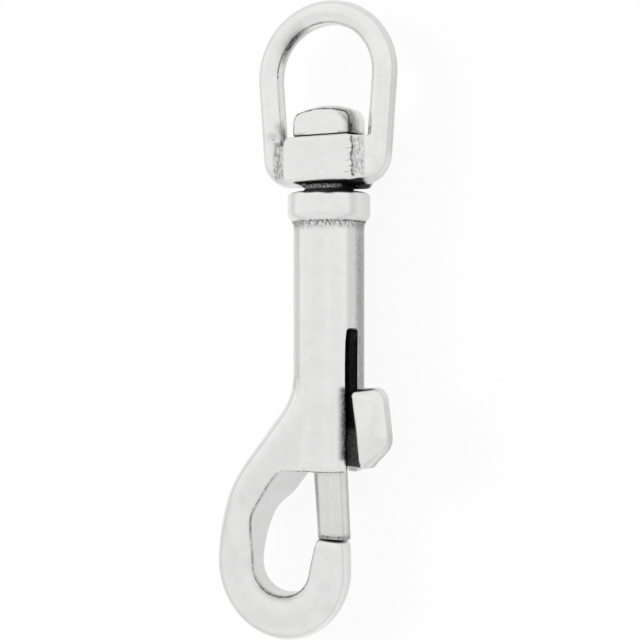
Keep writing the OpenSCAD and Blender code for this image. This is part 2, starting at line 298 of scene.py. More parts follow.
def relax_near(o, centres, radius, iterations):
    """Rounds the hollow or edge of a casting near some points."""
    co = points_of(o)
    weight = np.zeros(len(co))
    for c in centres:
        d = np.linalg.norm(co - np.array(c), axis=1)
        weight = np.maximum(weight, np.clip(1.6 - 1.6 * d / radius, 0, 1))
    group = o.vertex_groups.new(name="blend")
    for i in np.nonzero(weight > 0)[0]:
        group.add([int(i)], float(weight[i]), "REPLACE")
    s = o.modifiers.new("blend", "SMOOTH")
    s.factor = 0.5
    s.iterations = iterations
    s.vertex_group = "blend"
    settle(o)
    o.vertex_groups.clear()


def cut(o, *tools):
    for t in tools:
        b = o.modifiers.new("cut", "BOOLEAN")
        b.operation = "DIFFERENCE"
        b.solver = "MANIFOLD"
        b.object = t
    settle(o)
    for t in tools:
        bpy.data.objects.remove(t)


def finish_piece(o):
    """Carries a piece into the frame and shades it with crisp edges past 35 degrees."""
    o.data.transform(PLACE)
    o.data.shade_smooth()
    o.data.set_sharp_from_angle(angle=math.radians(35))


def points_of(o):
    co = np.empty(len(o.data.vertices) * 3, dtype=np.float32)
    o.data.vertices.foreach_get("co", co)
    return co.reshape(-1, 3).astype(float)


# Body casting
def hook_stations():
    """Stations of the hook's bar from inside the barrel to the tip.

    Each holds the outward angle, the middle point, the width, the inner depth, the scale, and the fill of the
    inner corner at the front and at the back.
    """
    foot_x = TIP_X - (BEND_DROP - TIP_DROP) * math.tan(TIP_LEAN)
    bend = Vector((foot_x - BEND_R * math.cos(TIP_LEAN), -BEND_DROP))
    arm_mid = Vector((bend.x - BEND_R + ARM_R, -BEND_DROP))
    arm_end = arm_mid + ARM_R * aim(math.pi - ARM_SLOPE)
    climb = (-ROOT_X - arm_end.x - ROOT_R * (1 - math.cos(ARM_SLOPE))) / math.sin(ARM_SLOPE)
    root_low = arm_end + climb * Vector((math.sin(ARM_SLOPE), math.cos(ARM_SLOPE)))
    root_mid = root_low + ROOT_R * aim(math.pi - ARM_SLOPE)
    front, back = FRONT_FILL[0][1], BACK_FILL[0][1]
    places = []
    for i in range(ROOT_STEPS + 1):
        t = i / ROOT_STEPS
        a = math.pi - ARM_SLOPE * t
        depth = ROOT_DEPTH * ease(ROOT_START, 1, t)
        places.append((a, root_mid - ROOT_R * aim(a), ROOT_W, depth, 1.0, front, back))
    for i in range(1, 10):
        middle = root_low.lerp(arm_end, i / 10)
        places.append((math.pi - ARM_SLOPE, middle, ROOT_W, ROOT_DEPTH, 1.0, front, back * (1.4 - 0.04 * i)))
    for i in range(ARM_STEPS + 1):
        t = i / ARM_STEPS
        a = math.pi - ARM_SLOPE * (1 - t)
        width = ease(ROOT_W, ARM_W, (t - 0.35) / 0.65)
        depth = ease(ROOT_DEPTH, ARM_DEPTH, (t - 0.2) / 0.8)
        fills = [float(np.interp(t, *zip(*table))) for table in (FRONT_FILL, BACK_FILL)]
        places.append((a, arm_mid + ARM_R * aim(a), width, depth, 1.0, *fills))
    for i in range(1, BEND_STEPS + 1):
        t = i / BEND_STEPS
        a = math.pi + (math.pi - TIP_LEAN) * t
        width = ease(ARM_W, BEND_W, 2 * t) if t < 0.5 else ease(BEND_W, TIP_W, 2 * t - 1)
        depth = ease(ARM_DEPTH, BEND_DEPTH, 2 * t) if t < 0.5 else ease(BEND_DEPTH, TIP_DEPTH, 2 * t - 1)
        places.append((a, bend + BEND_R * aim(a), width, depth, 1.0, 0.0, 0.0))
    last = places[-1][1]
    rise = -TIP_DROP - last.y
    for s, scale in TIP_ROUND:
        middle = last + s * rise * Vector((math.tan(TIP_LEAN), 1))
        width = TIP_W + (TIP_END_W - TIP_W) * s
        places.append((2 * math.pi - TIP_LEAN, middle, width, TIP_DEPTH, scale, 0.0, 0.0))
    return places


def bar_section(w, depth, scale, fill, back_fill):
    """Round outside, crowned faces, and a nearly flat inside with crisp edges; u points outwards."""
    h = depth / 2
    top = h + CROWN
    inner = -w / 2 - fill
    half = [(inner - 0.04, 0.0), (inner - 0.03, h * 0.4), (inner, h * 0.8), (inner, h - EDGE_ROUND),
            (inner + 0.07, h - 0.07), (inner + EDGE_ROUND, h + 0.05)]
    for i in range(1, 7):
        t = i / 7
        half.append((inner * (1 - t), h + CROWN * math.sin(math.pi / 2 * t)))
    for i in range(13):
        a = math.pi / 2 * (1 - i / 12)
        half.append((w / 2 * math.cos(a) ** 0.85, top * math.sin(a) ** 0.85 if a > 0 else 0.0))
    back = [(u - back_fill * min(1, v / h) * max(0, -2 * u / w), -v) for u, v in half[-2:0:-1]]
    return [(u * scale, v * scale) for u, v in half + back]


def hook_ring(station):
    """Section of the hook's bar, set square to its path."""
    a, middle, *sizes = station
    section = bar_section(*sizes)
    return [Vector((middle.x + u * math.cos(a), middle.y + u * math.sin(a), v)) for u, v in section]


def barrel_profile():
    """Barrel, bead, neck and rivet post."""
    p = [(0, 0.0), (BARREL_R - RIM_ROUND, 0.0)]
    p += arc(BARREL_R - RIM_ROUND, RIM_ROUND, RIM_ROUND, -90, 0, 6)
    p += [(BARREL_R, BARREL_LEN - 0.45)]
    p += arc(BARREL_R + 0.3, BARREL_LEN - 0.3, 0.3, 180, 90, 4)[1:]
    p += arc(FLANGE_R - FLANGE_FOOT_R, BARREL_LEN + FLANGE_FOOT_R, FLANGE_FOOT_R, -75, 0, 8)
    p += arc(FLANGE_R - FLANGE_TOP_R, FLANGE_TOP - FLANGE_TOP_R, FLANGE_TOP_R, 0, 80, 5)
    p += [(NECK_R + 0.25, NECK_LOW), (NECK_R, NECK_LOW + 0.2), (NECK_R, NECK_TOP), (POST_R, NECK_TOP)]
    p += [(POST_R, HEAD_LOW + 0.5), (0, HEAD_LOW + 0.5)]
    return p


def crown_height(distance):
    """Height of the head's domed top at a distance from the axis."""
    return HEAD_TOP - HEAD_CROWN_R + math.sqrt(HEAD_CROWN_R ** 2 - distance * distance)


def head_profile():
    p = [(0, HEAD_LOW), (HEAD_R - 0.15, HEAD_LOW), (HEAD_R, HEAD_LOW + 0.15), (HEAD_R, HEAD_TOP - HEAD_ROUND)]
    for r, y in arc(HEAD_R - HEAD_ROUND, HEAD_TOP - HEAD_ROUND, HEAD_ROUND, 0, 90, 14):
        p.append((r, min(y, crown_height(r))))
    for i in range(5, 0, -1):
        r = (HEAD_R - HEAD_ROUND) * i / 6
        p.append((r, crown_height(r)))
    p.append((0, HEAD_TOP))
    return p


def head_shape(bm):
    """Domed head with two flats; its front leans down a little."""
    lathe(bm, head_profile())
    for v in bm.verts:
        lean = min(1, max(0, 2 * v.co.z / HEAD_FLATS)) ** 4
        v.co.y -= HEAD_LEAN * lean * max(0, v.co.y - HEAD_LOW) / (HEAD_TOP - HEAD_LOW)
    for side in (1, -1):
        whole = bm.verts[:] + bm.edges[:] + bm.faces[:]
        made = bmesh.ops.bisect_plane(bm, geom=whole, plane_co=(0, 0, side * HEAD_FLATS / 2),
                                      plane_no=(0, 0, side), clear_outer=True)
        rim = [g for g in made["geom_cut"] if isinstance(g, bmesh.types.BMEdge)]
        bmesh.ops.edgeloop_fill(bm, edges=rim)
    bmesh.ops.recalc_face_normals(bm, faces=bm.faces[:])


def crotch_shape(bm):
    """Metal between the arm's root and the barrel's mouth."""
    outline = [(-7.3, 0.0), (-2.4, 0.0), (-2.4, 6.0), (-4.3, 6.0)]
    draw_out(bm, [(x, y, -ROOT_DEPTH / 2) for x, y in outline], (0, 0, ROOT_DEPTH))
    bmesh.ops.recalc_face_normals(bm, faces=bm.faces[:])


def slot_tool(inner, outer, flare):
    """Cutter of the worn slot's outline from one radius to another, wider by flare at the outer one."""
    def build(bm):
        half = SLOT_W / 2
        e = SLOT_END_R
        worn = [(y, math.sin(math.pi * (y - 8) / 14)) for y in range(8, 21)]
        outline = [(-half, SLOT_MOUTH), (half, SLOT_MOUTH)]
        outline += [(half + SLOT_WEAR * wear, y) for y, wear in worn]
        outline += arc(half - e - 0.1, SLOT_TOP - e, e, 10, 90, 8)
        outline += arc(e - half, SLOT_TOP - e, e, 90, 180, 8)
        outline += [(SLOT_WEAR_FAR * wear - half, y) for y, wear in reversed(worn)]
        far = draw_out(bm, [(inner, y, z) for z, y in outline], (outer - inner, 0, 0))
        bmesh.ops.scale(bm, vec=(1, 1 + flare / SLOT_TOP, 1 + flare / half), verts=far)
        bmesh.ops.transform(bm, matrix=SLOT_SPIN, verts=bm.verts[:])
        bmesh.ops.recalc_face_normals(bm, faces=bm.faces[:])
    return build


hook_rings = [hook_ring(s) for s in hook_stations()]
body = object_from("body_casting", lambda bm: sweep(bm, hook_rings), lambda bm: lathe(bm, barrel_profile()),
                   head_shape, crotch_shape)
cast(body, BODY_GRAIN)
arm_hollow = [(-5.3, 5.5, 0), (-4.6, 6.5, 3), (-4.6, 6.5, -3), (-4, 9.5, 3), (-4, 9.5, -3)]
relax_near(body, arm_hollow, 4.5, iterations=16)
relax_near(body, [(-6.4, -0.1, z) for z in (-4.4, -2, 0, 2, 4.4)], 2.0, iterations=30)
cut(body, drill(BORE_R, -2, BORE_TOP), object_from("slot", slot_tool(0.5, 10.5, 0.0)),
    object_from("slot_lip", slot_tool(BARREL_R - 0.25, BARREL_R + 0.75, 0.8)))


# Swivel eye casting
def eye_rings():
    """Sections of the eye's bar, once round: arch, left leg, corner, foot, corner and right leg."""
    arch = Vector((RING_X, ARCH_Y))
    left = Vector((RING_X - SIDE_X, FOOT_Y))
    right = Vector((RING_X + SIDE_X, FOOT_Y))
    leg_a, down, quarter = math.pi + LEG_TAPER, 1.5 * math.pi, math.pi / 2 - LEG_TAPER
    places = []
    for i in range(ARCH_STEPS + 1):
        a = -LEG_TAPER + (math.pi + 2 * LEG_TAPER) * i / ARCH_STEPS
        places.append((a, arch + ARCH_R * aim(a)))
    arch_start, arch_end = places[0][1], places[-1][1]
    for i in range(1, LEG_STEPS):
        places.append((leg_a, arch_end.lerp(left + CORNER_R * aim(leg_a), i / LEG_STEPS)))
    for i in range(CORNER_STEPS + 1):
        b = leg_a + quarter * i / CORNER_STEPS
        places.append((b, left + CORNER_R * aim(b)))
    foot_start = left + CORNER_R * aim(down)
    foot_end = right + CORNER_R * aim(down)
    for i in range(1, FOOT_STEPS):
        places.append((down, foot_start.lerp(foot_end, i / FOOT_STEPS)))
    for i in range(CORNER_STEPS + 1):
        b = down + quarter * i / CORNER_STEPS
        places.append((b, right + CORNER_R * aim(b)))
    for i in range(1, LEG_STEPS):
        places.append((-LEG_TAPER, (right + CORNER_R * aim(-LEG_TAPER)).lerp(arch_start, i / LEG_STEPS)))
    half = math.acos((EYE_BAR_R - EYE_FLAT) / EYE_BAR_R)
    angles = [math.pi - half - (2 * math.pi - 2 * half) * j / (BAR_SIDES - 1) for j in range(BAR_SIDES)]
    section = [(EYE_BAR_R * math.cos(b), EYE_BAR_R * math.sin(b)) for b in angles]
    flat_u, edge_v = section[-1]
    section += [(flat_u - 0.02, edge_v * 0.4), (flat_u - 0.02, -edge_v * 0.4)]
    return [[Vector((c.x + u * math.cos(b), c.y + u * math.sin(b), v)) for u, v in section]
            for b, c in places]


def collar_shape(bm):
    """Block with a heel at its back, rounded at its four uprights and at the rims of its two faces."""
    corners = bmesh.ops.create_cube(bm, size=1.0)["verts"]
    height = COLLAR_TOP - COLLAR_LOW + HEEL
    bmesh.ops.scale(bm, vec=(COLLAR_W, height, COLLAR_D), verts=corners)
    bmesh.ops.translate(bm, vec=(0, COLLAR_TOP - height / 2, 0), verts=corners)
    for v in bm.verts:
        if v.co.y < COLLAR_LOW and v.co.z > 0:
            v.co.y = COLLAR_LOW
    upright = [e for e in bm.edges if abs(e.verts[0].co.z - e.verts[1].co.z) > 1]
    bmesh.ops.bevel(bm, geom=upright, offset=COLLAR_ROUND, offset_type="OFFSET", segments=6, profile=0.5,
                    affect="EDGES", material=-1)
    rims = [e for e in bm.edges if len({round(v.co.z, 3) for v in e.verts}) == 1
            and abs(abs(e.verts[0].co.z) - COLLAR_D / 2) < 1e-3 and len(e.link_faces) == 2
            and any(abs(f.normal.z) < 0.5 for f in e.link_faces)]
    bmesh.ops.bevel(bm, geom=rims, offset=COLLAR_RIM, offset_type="OFFSET", segments=4, profile=0.5,
                    affect="EDGES", material=-1)


def leg_web(side):
    """Web that fills the corner between a leg, the foot and the collar."""
    def build(bm):
        half = 0.9 * EYE_BAR_R
        edge = SIDE_X + CORNER_R
        outline = [(0, FOOT_Y - CORNER_R), (SIDE_X, FOOT_Y - CORNER_R), (edge - 0.4, FOOT_Y),
                   (edge - 0.2, COLLAR_TOP - 1.3), (COLLAR_W / 2 - 1, COLLAR_TOP - 0.3),
                   (0, COLLAR_TOP - 0.3)]
        draw_out(bm, [(side * x, y, -half) for x, y in outline], (0, 0, 2 * half))
        bmesh.ops.recalc_face_normals(bm, faces=bm.faces[:])
    return build


def shoulder_shape(bm):
    """Metal that fills the step between the collar's face and the right-hand leg."""
    half = COLLAR_D / 2 - 0.1
    front = [(3.0, half), (5.0, half), (6.6, 3.2), (8.6, 1.5)]
    outline = front + [(x, -z) for x, z in reversed(front)]
    draw_out(bm, [(x, COLLAR_LOW + 0.1, z) for x, z in outline], (0, COLLAR_TOP - COLLAR_LOW - 0.25, 0))
    for v in bm.verts:
        if v.co.y < COLLAR_LOW + 1 and v.co.x > 5.5:
            v.co.y += (v.co.x - 5.5) * 0.25
    bmesh.ops.recalc_face_normals(bm, faces=bm.faces[:])


rings = eye_rings()
eye = object_from("eye_casting", lambda bm: sweep(bm, rings, closed=True), collar_shape, leg_web(1),
                  leg_web(-1), shoulder_shape)
cast(eye, EYE_GRAIN)
shoulder = [(x, y, z) for x in (6.2, 8.4) for y in (44.6, 46.5, 48.5, 50.2) for z in (-2.8, 2.8)]
relax_near(eye, shoulder, 2.2, iterations=40)
cut(eye, drill(POST_R + POST_PLAY, COLLAR_LOW - 3, COLLAR_TOP + 2),
    drill(NECK_R + NECK_PLAY, COLLAR_LOW - 3, COLLAR_LOW))


# Bolt casting
def shank_shape(bm):
    rod(bm, SHANK_R, SHANK_R, (0, WEB_LOW, 0), (0, SHANK_TOP, 0))


def nose_shape(bm):
    """Tapered nose that leans towards the hook's tip."""
    down = Vector((math.sin(NOSE_LEAN), -math.cos(NOSE_LEAN), 0))
    top = Vector((NOSE_X, 0, 0))
    rod(bm, NOSE_END_R, NOSE_R, top + down * (NOSE_LEN + 1), top - down * 2.0)


def thumb_plate(bm):
    """Plate with a crisp edge beside the slot and soft edges at its top, side and foot."""
    small = FIN_SMALL_R
    corners = [(FIN_INNER + small, FIN_HIGH - small - 0.2, small),
               (FIN_REACH - 0.8 - FIN_TOP_CORNER_R, FIN_HIGH - FIN_TOP_CORNER_R, FIN_TOP_CORNER_R),
               (FIN_REACH - FIN_CORNER_R, FIN_LOW + FIN_RAKE + FIN_CORNER_R, FIN_CORNER_R),
               (FIN_INNER + FIN_SLOPE + small, FIN_LOW + small, small)]
    middle = (FIN_LOW + FIN_HIGH) / 2

    def disc(x, y, z, radius, depth):
        made = bmesh.ops.create_cone(bm, cap_ends=True, segments=48, radius1=radius, radius2=radius,
                                     depth=depth)["verts"]
        bmesh.ops.translate(bm, vec=(x, y, z), verts=made)

    for x, y, r in corners:
        for shrink, thin in FIN_ROUND:
            radius = max(0.5 * r, r - shrink)
            inset = shrink - (r - radius)
            across = radius - r if r == small else -inset
            rise = 0.3 * inset if r == small else inset
            disc(x + across, y + math.copysign(rise, middle - y), -0.25 * thin, radius, FIN_T - 0.75 * thin)
    disc(FIN_REACH - 3.6, middle, 0, 1.4, FIN_T + 0.4)
    hull = bmesh.ops.convex_hull(bm, input=bm.verts[:])
    stray = set(hull["geom_interior"]) | set(hull["geom_unused"])
    bmesh.ops.delete(bm, geom=[g for g in stray if isinstance(g, bmesh.types.BMVert)], context="VERTS")
    skin = set(hull["geom"])
    bmesh.ops.delete(bm, geom=[f for f in bm.faces if f not in skin], context="FACES")
    bmesh.ops.transform(bm, matrix=SLOT_SPIN, verts=bm.verts[:])
    bmesh.ops.recalc_face_normals(bm, faces=bm.faces[:])


def slot_web(bm):
    """Web that joins the shank to the thumb plate through the slot."""
    half = SLOT_W / 2 - WEB_PLAY
    outline = [(-half, WEB_LOW), (half, WEB_LOW)] + arc(0, WEB_HIGH - half, half, 0, 180, 16)
    draw_out(bm, [(0.0, y, z) for z, y in outline], (WEB_REACH, 0, 0))
    bmesh.ops.transform(bm, matrix=SLOT_SPIN, verts=bm.verts[:])
    bmesh.ops.recalc_face_normals(bm, faces=bm.faces[:])


def hollow_tool(bm):
    """Cutter that leaves the nose's end hollow, to fit the hook's tip."""
    x = NOSE_X + NOSE_LEN * math.tan(NOSE_LEAN)
    y = -NOSE_LEN - HOLLOW_R
    rod(bm, HOLLOW_R, HOLLOW_R, (x, y, -8), (x, y, 8), segments=256)


bolt = object_from("bolt_casting", shank_shape, nose_shape, thumb_plate, slot_web)
cast(bolt, BOLT_GRAIN)
cut(bolt, object_from("hollow", hollow_tool))
plate_edge = [(8.6, 12.7), (10.4, 12.6), (11.7, 11.9), (12.3, 10.6), (12.7, 8.4), (12.9, 6.4), (12.6, 4.6),
              (11.7, 3.3), (10.3, 2.3)]
plate_points = [SLOT_SPIN @ Vector((u, y, w)) for u, y in plate_edge for w in (-0.9, 1.25)]
relax_near(bolt, plate_points, 1.8, iterations=26)


# Spring
def spring_shape(bm):
    ring = bmesh.ops.create_circle(bm, cap_ends=False, segments=10, radius=WIRE_R)["verts"]
    bmesh.ops.translate(bm, vec=(SPRING_R, SPRING_LOW + WIRE_R, 0), verts=ring)
    steps = STEPS_PER_TURN * TURNS
    rise = (SPRING_LEN - 2 * WIRE_R) / steps
    bmesh.ops.spin(bm, geom=bm.verts[:] + bm.edges[:], cent=(0, 0, 0), axis=(0, 1, 0), dvec=(0, rise, 0),
                   angle=2 * math.pi * TURNS, steps=steps)
    bmesh.ops.holes_fill(bm, edges=[e for e in bm.edges if e.is_boundary])
    bmesh.ops.recalc_face_normals(bm, faces=bm.faces[:])


spring = object_from("spring_wire", spring_shape)
finish_piece(spring)


# Marks of casting, grinding and use, and painted shade, kept on the skins as four attributes:
# painted shade in recesses, real seams with painted dark lines of shade at creases, gaps and edges, grime
# with painted shade and reflections, and patches left as cast
def paint(o, name, values):
    layer = o.data.attributes.new(name, "FLOAT", "POINT")
    layer.data.foreach_set("value", np.clip(values, 0, 1).astype(np.float32))


def step(low, high, x):
    t = np.clip((x - low) / (high - low), 0, 1)
    return t * t * (3 - 2 * t)


def inside(x, low, high, soft):
    return step(low - soft, low + soft, x) * (1 - step(high - soft, high + soft, x))


def strongest(*marks):
    out = marks[0]
    for mark in marks[1:]:
        out = np.maximum(out, mark)
    return out


def along(co, points, radius, strength=1.0):
    """Mark of a given radius along a line of points; strength is one number or one for each point."""
    points = np.array([tuple(p) for p in points], dtype=float)
    power = np.broadcast_to(np.asarray(strength, dtype=float), (len(points),))
    out = np.zeros(len(co))
    low, high = points.min(0) - 3 * radius, points.max(0) + 3 * radius
    near = np.nonzero(np.all((co > low) & (co < high), axis=1))[0]
    for i in range(len(points) - 1):
        a, b = points[i], points[i + 1]
        d = b - a
        t = np.clip((co[near] - a) @ d / max(d @ d, 1e-9), 0, 1)
        gap = np.linalg.norm(co[near] - a - t[:, None] * d, axis=1)
        mark = np.exp(-(gap / radius) ** 2) * (power[i] + (power[i + 1] - power[i]) * t)
        out[near] = np.maximum(out[near], mark)
    return out


def blot(co, centre, size, strength):
    return strength * np.exp(-(((co - np.array(centre)) / np.array(size)) ** 2).sum(1))


def head_outline(shift):
    """Right half of the edge round the head's front flat, from its foot to the middle of its top."""
    flat = HEAD_FLATS / 2
    points = [(math.sqrt(r * r - flat * flat), y) for r, y in head_profile() if r > flat]
    points += [(x, crown_height(math.hypot(x, flat))) for x in (0.8, 0.4, 0)]
    points = [(x, y - HEAD_LEAN * (y - HEAD_LOW) / (HEAD_TOP - HEAD_LOW)) for x, y in points]
    return [(x, y, flat - shift) for x, y in points]


def mark_body():
    co = points_of(body)
    x, y, z = co.T
    round_r = np.hypot(x, z)
    turn = np.degrees(np.arctan2(x, z))

    # Painted shade inside the bore, round the post from the bead up to the head, and on the bead's top under
    # the collar, made lighter on the neck's front.
    bore = (1 - step(5.2, 5.36, round_r)) * inside(y, 0.3, BORE_TOP + 0.4, 0.1)
    post = inside(y, FLANGE_TOP - 0.02, HEAD_LOW + 0.06, 0.05) * (1 - step(5.8, 5.95, round_r))
    facing = np.maximum(0, np.cos(np.radians(turn - 25))) ** 2
    bead_line = FLANGE_TOP - 0.5 * facing + 0.05 * np.sin(turn / 5)
    bead = step(bead_line - 0.05, bead_line + 0.1, y) * (y < NECK_LOW) * (round_r < 6.5) * (turn > -80)
    neck = inside(y, NECK_LOW + 0.05, NECK_TOP + 0.2, 0.08) * (1 - step(NECK_R + 0.05, NECK_R + 0.2, round_r))
    recess_shade = strongest(bore, post, bead) * (1 - 0.62 * neck * (1 - step(2.7, 3.4, x)))
    paint(body, "recess_shade", recess_shade)

    # The section's sixth point is the bar's inner edge on the front, and the fifth from its end the one on
    # the back
    front_edge = [ring[5] for ring in hook_rings]
    back_edge = [ring[-5] for ring in hook_rings]
    crotch, bend, tip_start, tip = 22, 60, 104, 120
    edge_power = np.interp(range(crotch, tip), (22, 34, 40, 48, 60, 72, 96, 110, 120),
                           (0.86, 0.88, 0.95, 0.86, 0.9, 1.0, 0.98, 0.86, 0.84))
    crotch_line = [(-6.7, -0.6, 4.7), (-5.9, -0.2, 4.7), (-5.0, 0.0, 4.7), (-4.0, 0.05, 4.7),
                   (-2.4, 0.1, 4.75)]
    mouth = [(u / 2, 0.15, math.sqrt((BARREL_R - 0.2) ** 2 - u * u / 4)) for u in range(-10, 9)]
    tip_line = [(-0.6, -11.0, 2.1), (1.4, -10.55, 2.1), (4.0, -10.9, 2.1)]
    outline = head_outline(0.08)
    under_bead = np.exp(-((y - 38.25) / 0.3) ** 2) * (round_r < 6.4) * (round_r > 5.2)
    # Painted dark lines of shade along the hook's inner front edge, the crotch, the gaps at the barrel's
    # mouth and at the tip, and under the bead, and a painted dark reflection round the head's flat.
    paint(body, "seams_and_painted_dark_lines", strongest(
        along(co, front_edge[crotch:tip], 0.35, edge_power),
        along(co, crotch_line, 0.38, (0.88, 0.92, 0.92, 0.9, 0.9)),
        along(co, mouth, 0.35, 0.95),
        along(co, tip_line, 0.35, 0.88),
        along(co, outline, 0.42, np.linspace(1.1, 0.95, len(outline))),
        along(co, [(-u, v, w) for u, v, w in outline], 0.42, 0.9),
        under_bead * np.interp(turn, (-70, -30, 60, 110), (0.86, 0.84, 0.9, 1.0))))

    # Painted reflection of the thumb plate's dark side on the barrel beside the slot, and painted reflection
    # of shaded floor on the barrel's flanks, darkest on the right.
    beside_slot = step(36, 49, turn) * (1 - step(56, 60, turn)) * inside(y, 2.0, 13.0, 0.35)
    beside_slot = beside_slot * step(5.3, 5.42, round_r)
    flanks = np.interp(turn, (-72, -60, -45, -36, -28, 55, 62, 70, 78, 90, 112),
                       (0.05, 0.15, 0.2, 0.12, 0, 0, 0.08, 0.24, 0.52, 0.56, 0.42))
    flanks = flanks * inside(y, 1.0, 38.2, 0.6) * (round_r > 5.2) * (round_r < 5.8)
    flanks = flanks * np.where(x < 0, step(9, 14, y), 1)
    head_edge = [(u + 0.15, v, 2.4) for u, v, w in outline if u > 2]
    crescent = [(3.17, 54.82, 2.9), (4.09, 54.00, 2.9), (4.75, 52.89, 2.9), (5.08, 51.81, 2.9)]
    head_foot = step(HEAD_LOW + 0.5, HEAD_LOW + 0.1, y) * (y > HEAD_LOW - 0.1) * (round_r > 4)
    # Grime with painted shade and reflection: along the hook's inner edges and its bend, at the tip's top, a
    # painted dark reflection round the head's flat and in its crescent, and painted shade at the head's foot.
    paint(body, "grime_and_painted_shade", strongest(
        along(co, back_edge[crotch:], 0.24, 0.3),
        along(co, front_edge[crotch:tip], 0.3, 0.22),
        along(co, front_edge[bend:tip_start], 0.6,
              np.interp(range(bend, tip_start), (60, 76, 92, 104), (0.1, 0.4, 0.42, 0.1))),
        0.92 * beside_slot * (round_r < 6.5),
        0.35 * inside(y, -10.8, -10.4, 0.15) * (x > -3),
        flanks,
        along(co, head_edge, 0.6, np.linspace(0.9, 0.35, len(head_edge))),
        along(co, crescent, 0.42, (0.35, 0.6, 0.85, 1.1)),
        blot(co, (4.9, 52.4, 2.6), (0.75, 1.3, 0.7), 1.1),
        0.45 * head_foot))

    rough = 0.75 * step(36.7, 38.0, y) * (1 - step(38.3, 38.6, y)) * (round_r < 6.2) * (round_r > 5)
    paint(body, "ascast", np.maximum(rough, 0.9 * neck))
    finish_piece(body)


def mark_eye():
    co = points_of(eye)
    x, y, z = co.T
    round_r = np.hypot(x, z)

    # Painted shade under the collar, in the post's hole and on the collar's top below the head, left off at
    # the left end under the collar.
    under = (1 - step(COLLAR_LOW + 0.05, COLLAR_LOW + 0.3, y)) * (1 - step(6.2, 6.9, round_r))
    hole = (1 - step(POST_R + 0.3, POST_R + 0.5, round_r)) * (y < COLLAR_TOP + 0.1)
    below_head = 0.8 * step(COLLAR_TOP - 0.03, COLLAR_TOP + 0.02, y) * (1 - step(5.2, 5.6, round_r))
    below_head = below_head * (1 - step(COLLAR_TOP + 0.3, COLLAR_TOP + 0.6, y))
    recess_shade = strongest(under, hole, below_head)
    recess_shade *= 1 - (1 - step(-4.1, -3.7, x)) * (y < COLLAR_LOW + 1)
    paint(eye, "recess_shade", recess_shade)

    seam = [(5.65, 51.3, 4.2), (5.57, 50.2, 4.2), (5.8, 49.3, 4.1), (5.65, 48.4, 4.2), (5.5, 47.5, 4.2),
            (5.75, 46.6, 4.1), (5.6, 45.7, 4.2), (5.65, 45.1, 4.1), (6.2, 44.9, 3.8), (6.3, 44.5, 3.7)]
    seam_power = (1.08, 0.93, 1.02, 0.94, 1.05, 0.92, 1.02, 1.03, 0.95, 0.9)
    nicks = [along(co, [(5.6 - reach, v - drop, 4.35), (5.6, v, 4.25)], 0.28, (0.84, 1.0))
             for v, reach, drop in ((50.5, 0.55, 0.15), (49.1, 0.8, 0.05), (48.3, 0.6, 0.2), (47.3, 0.9, 0.1),
                                    (46.4, 0.7, 0.15), (45.5, 1.0, 0.0))]
    # The section's first point is the bar's inner edge on the front, and the last round one the edge on
    # the back
    edge = [r[0] for r in rings] + [rings[0][0]]
    far_edge = [r[BAR_SIDES - 1] for r in rings] + [rings[0][BAR_SIDES - 1]]
    left_edge = [p for p in edge if p.y > COLLAR_TOP and p.x < RING_X]
    right_edge = [p for p in edge if p.y > COLLAR_TOP and p.x > RING_X]
    far_round = [p for p in far_edge if p.y > COLLAR_TOP]
    left_foot = [(-9.6, 51.5, 1.7), (-8.4, 51.4, 1.9), (-7.2, 51.5, 2.0)]
    right_foot = [(5.7, 51.4, 4.0), (6.7, 51.4, 3.4), (7.3, 51.7, 2.2), (7.6, 52.6, 1.5)]
    collar_edge = [(-6.5, 51.25, 2.2), (-7.0, 50.7, 2.1), (-7.1, 49.0, 2.1), (-7.1, 47.0, 2.1),
                   (-7.1, 45.6, 2.1), (-6.8, 44.9, 2.1)]
    # A real seam with nicks at the collar's right edge, and painted dark lines of shade along the bar's inner
    # edges, at the legs' feet and along the collar's left edge.
    paint(eye, "seams_and_painted_dark_lines", strongest(
        along(co, seam, 0.42, seam_power),
        *nicks,
        along(co, left_edge, 0.35, [0.92 if p.y > 61 else 0.76 for p in left_edge]),
        along(co, right_edge, 0.35, 0.87),
        along(co, left_foot, 0.35, (0.8, 0.87, 0.92)),
        along(co, right_foot, 0.35, 0.92),
        along(co, collar_edge, 0.4, 0.92)))

    outer_side = [r[15] for r in rings if r[15].x > RING_X + 4 and r[15].y > COLLAR_TOP - 3]
    foot_hollow = [(-7.70, 53.43, 1.6), (-7.05, 52.46, 1.5), (-6.67, 51.70, 1.2)]
    foot_wall = [(-7.5, 53.8, 0.6), (-7.4, 52.7, 0.3), (-7.2, 51.6, 0.2)]
    arch_wall = [(-4.3, 68.6, 0.6), (-5.5, 67.3, 0.6), (-6.6, 65.9, 0.5), (-7.4, 64.0, 0.3)]
    corner = [(5.7, 51.3, 4.2), (7.2, 51.3, 3.3), (7.5, 52.2, 1.7)]
    dull = inside(x, -8.6, -6.2, 0.5) * inside(y, 44.8, 51.2, 0.3) * (z > 0.5) * (z < 3.6)
    # Grime with painted shade and reflection: along the bar's edges, on its outer right side, in the hollow
    # of the left foot and the arch's inner wall, and in the right corner, with a faint dull patch on the
    # collar's left.
    paint(eye, "grime_and_painted_shade", strongest(
        along(co, far_round, 0.2, 0.3),
        along(co, left_edge, 0.4, 0.1),
        along(co, [p for p in far_round if p.x < RING_X], 0.6, 0.34),
        along(co, outer_side, 0.75, 0.2),
        along(co, foot_hollow, 0.75, (0.5, 0.95, 1.1)),
        along(co, foot_wall, 0.9, (0.4, 1.0, 1.1)),
        blot(co, (-7.2, 54.3, 1.8), (0.6, 1.6, 1.2), 0.4),
        blot(co, (-8.8, 52.0, 1.7), (1.2, 0.6, 1.2), 0.25),
        along(co, arch_wall, 0.95, (0.7, 1.1, 1.1, 0.6)),
        along(co, corner, 0.25, 0.5),
        0.14 * dull))

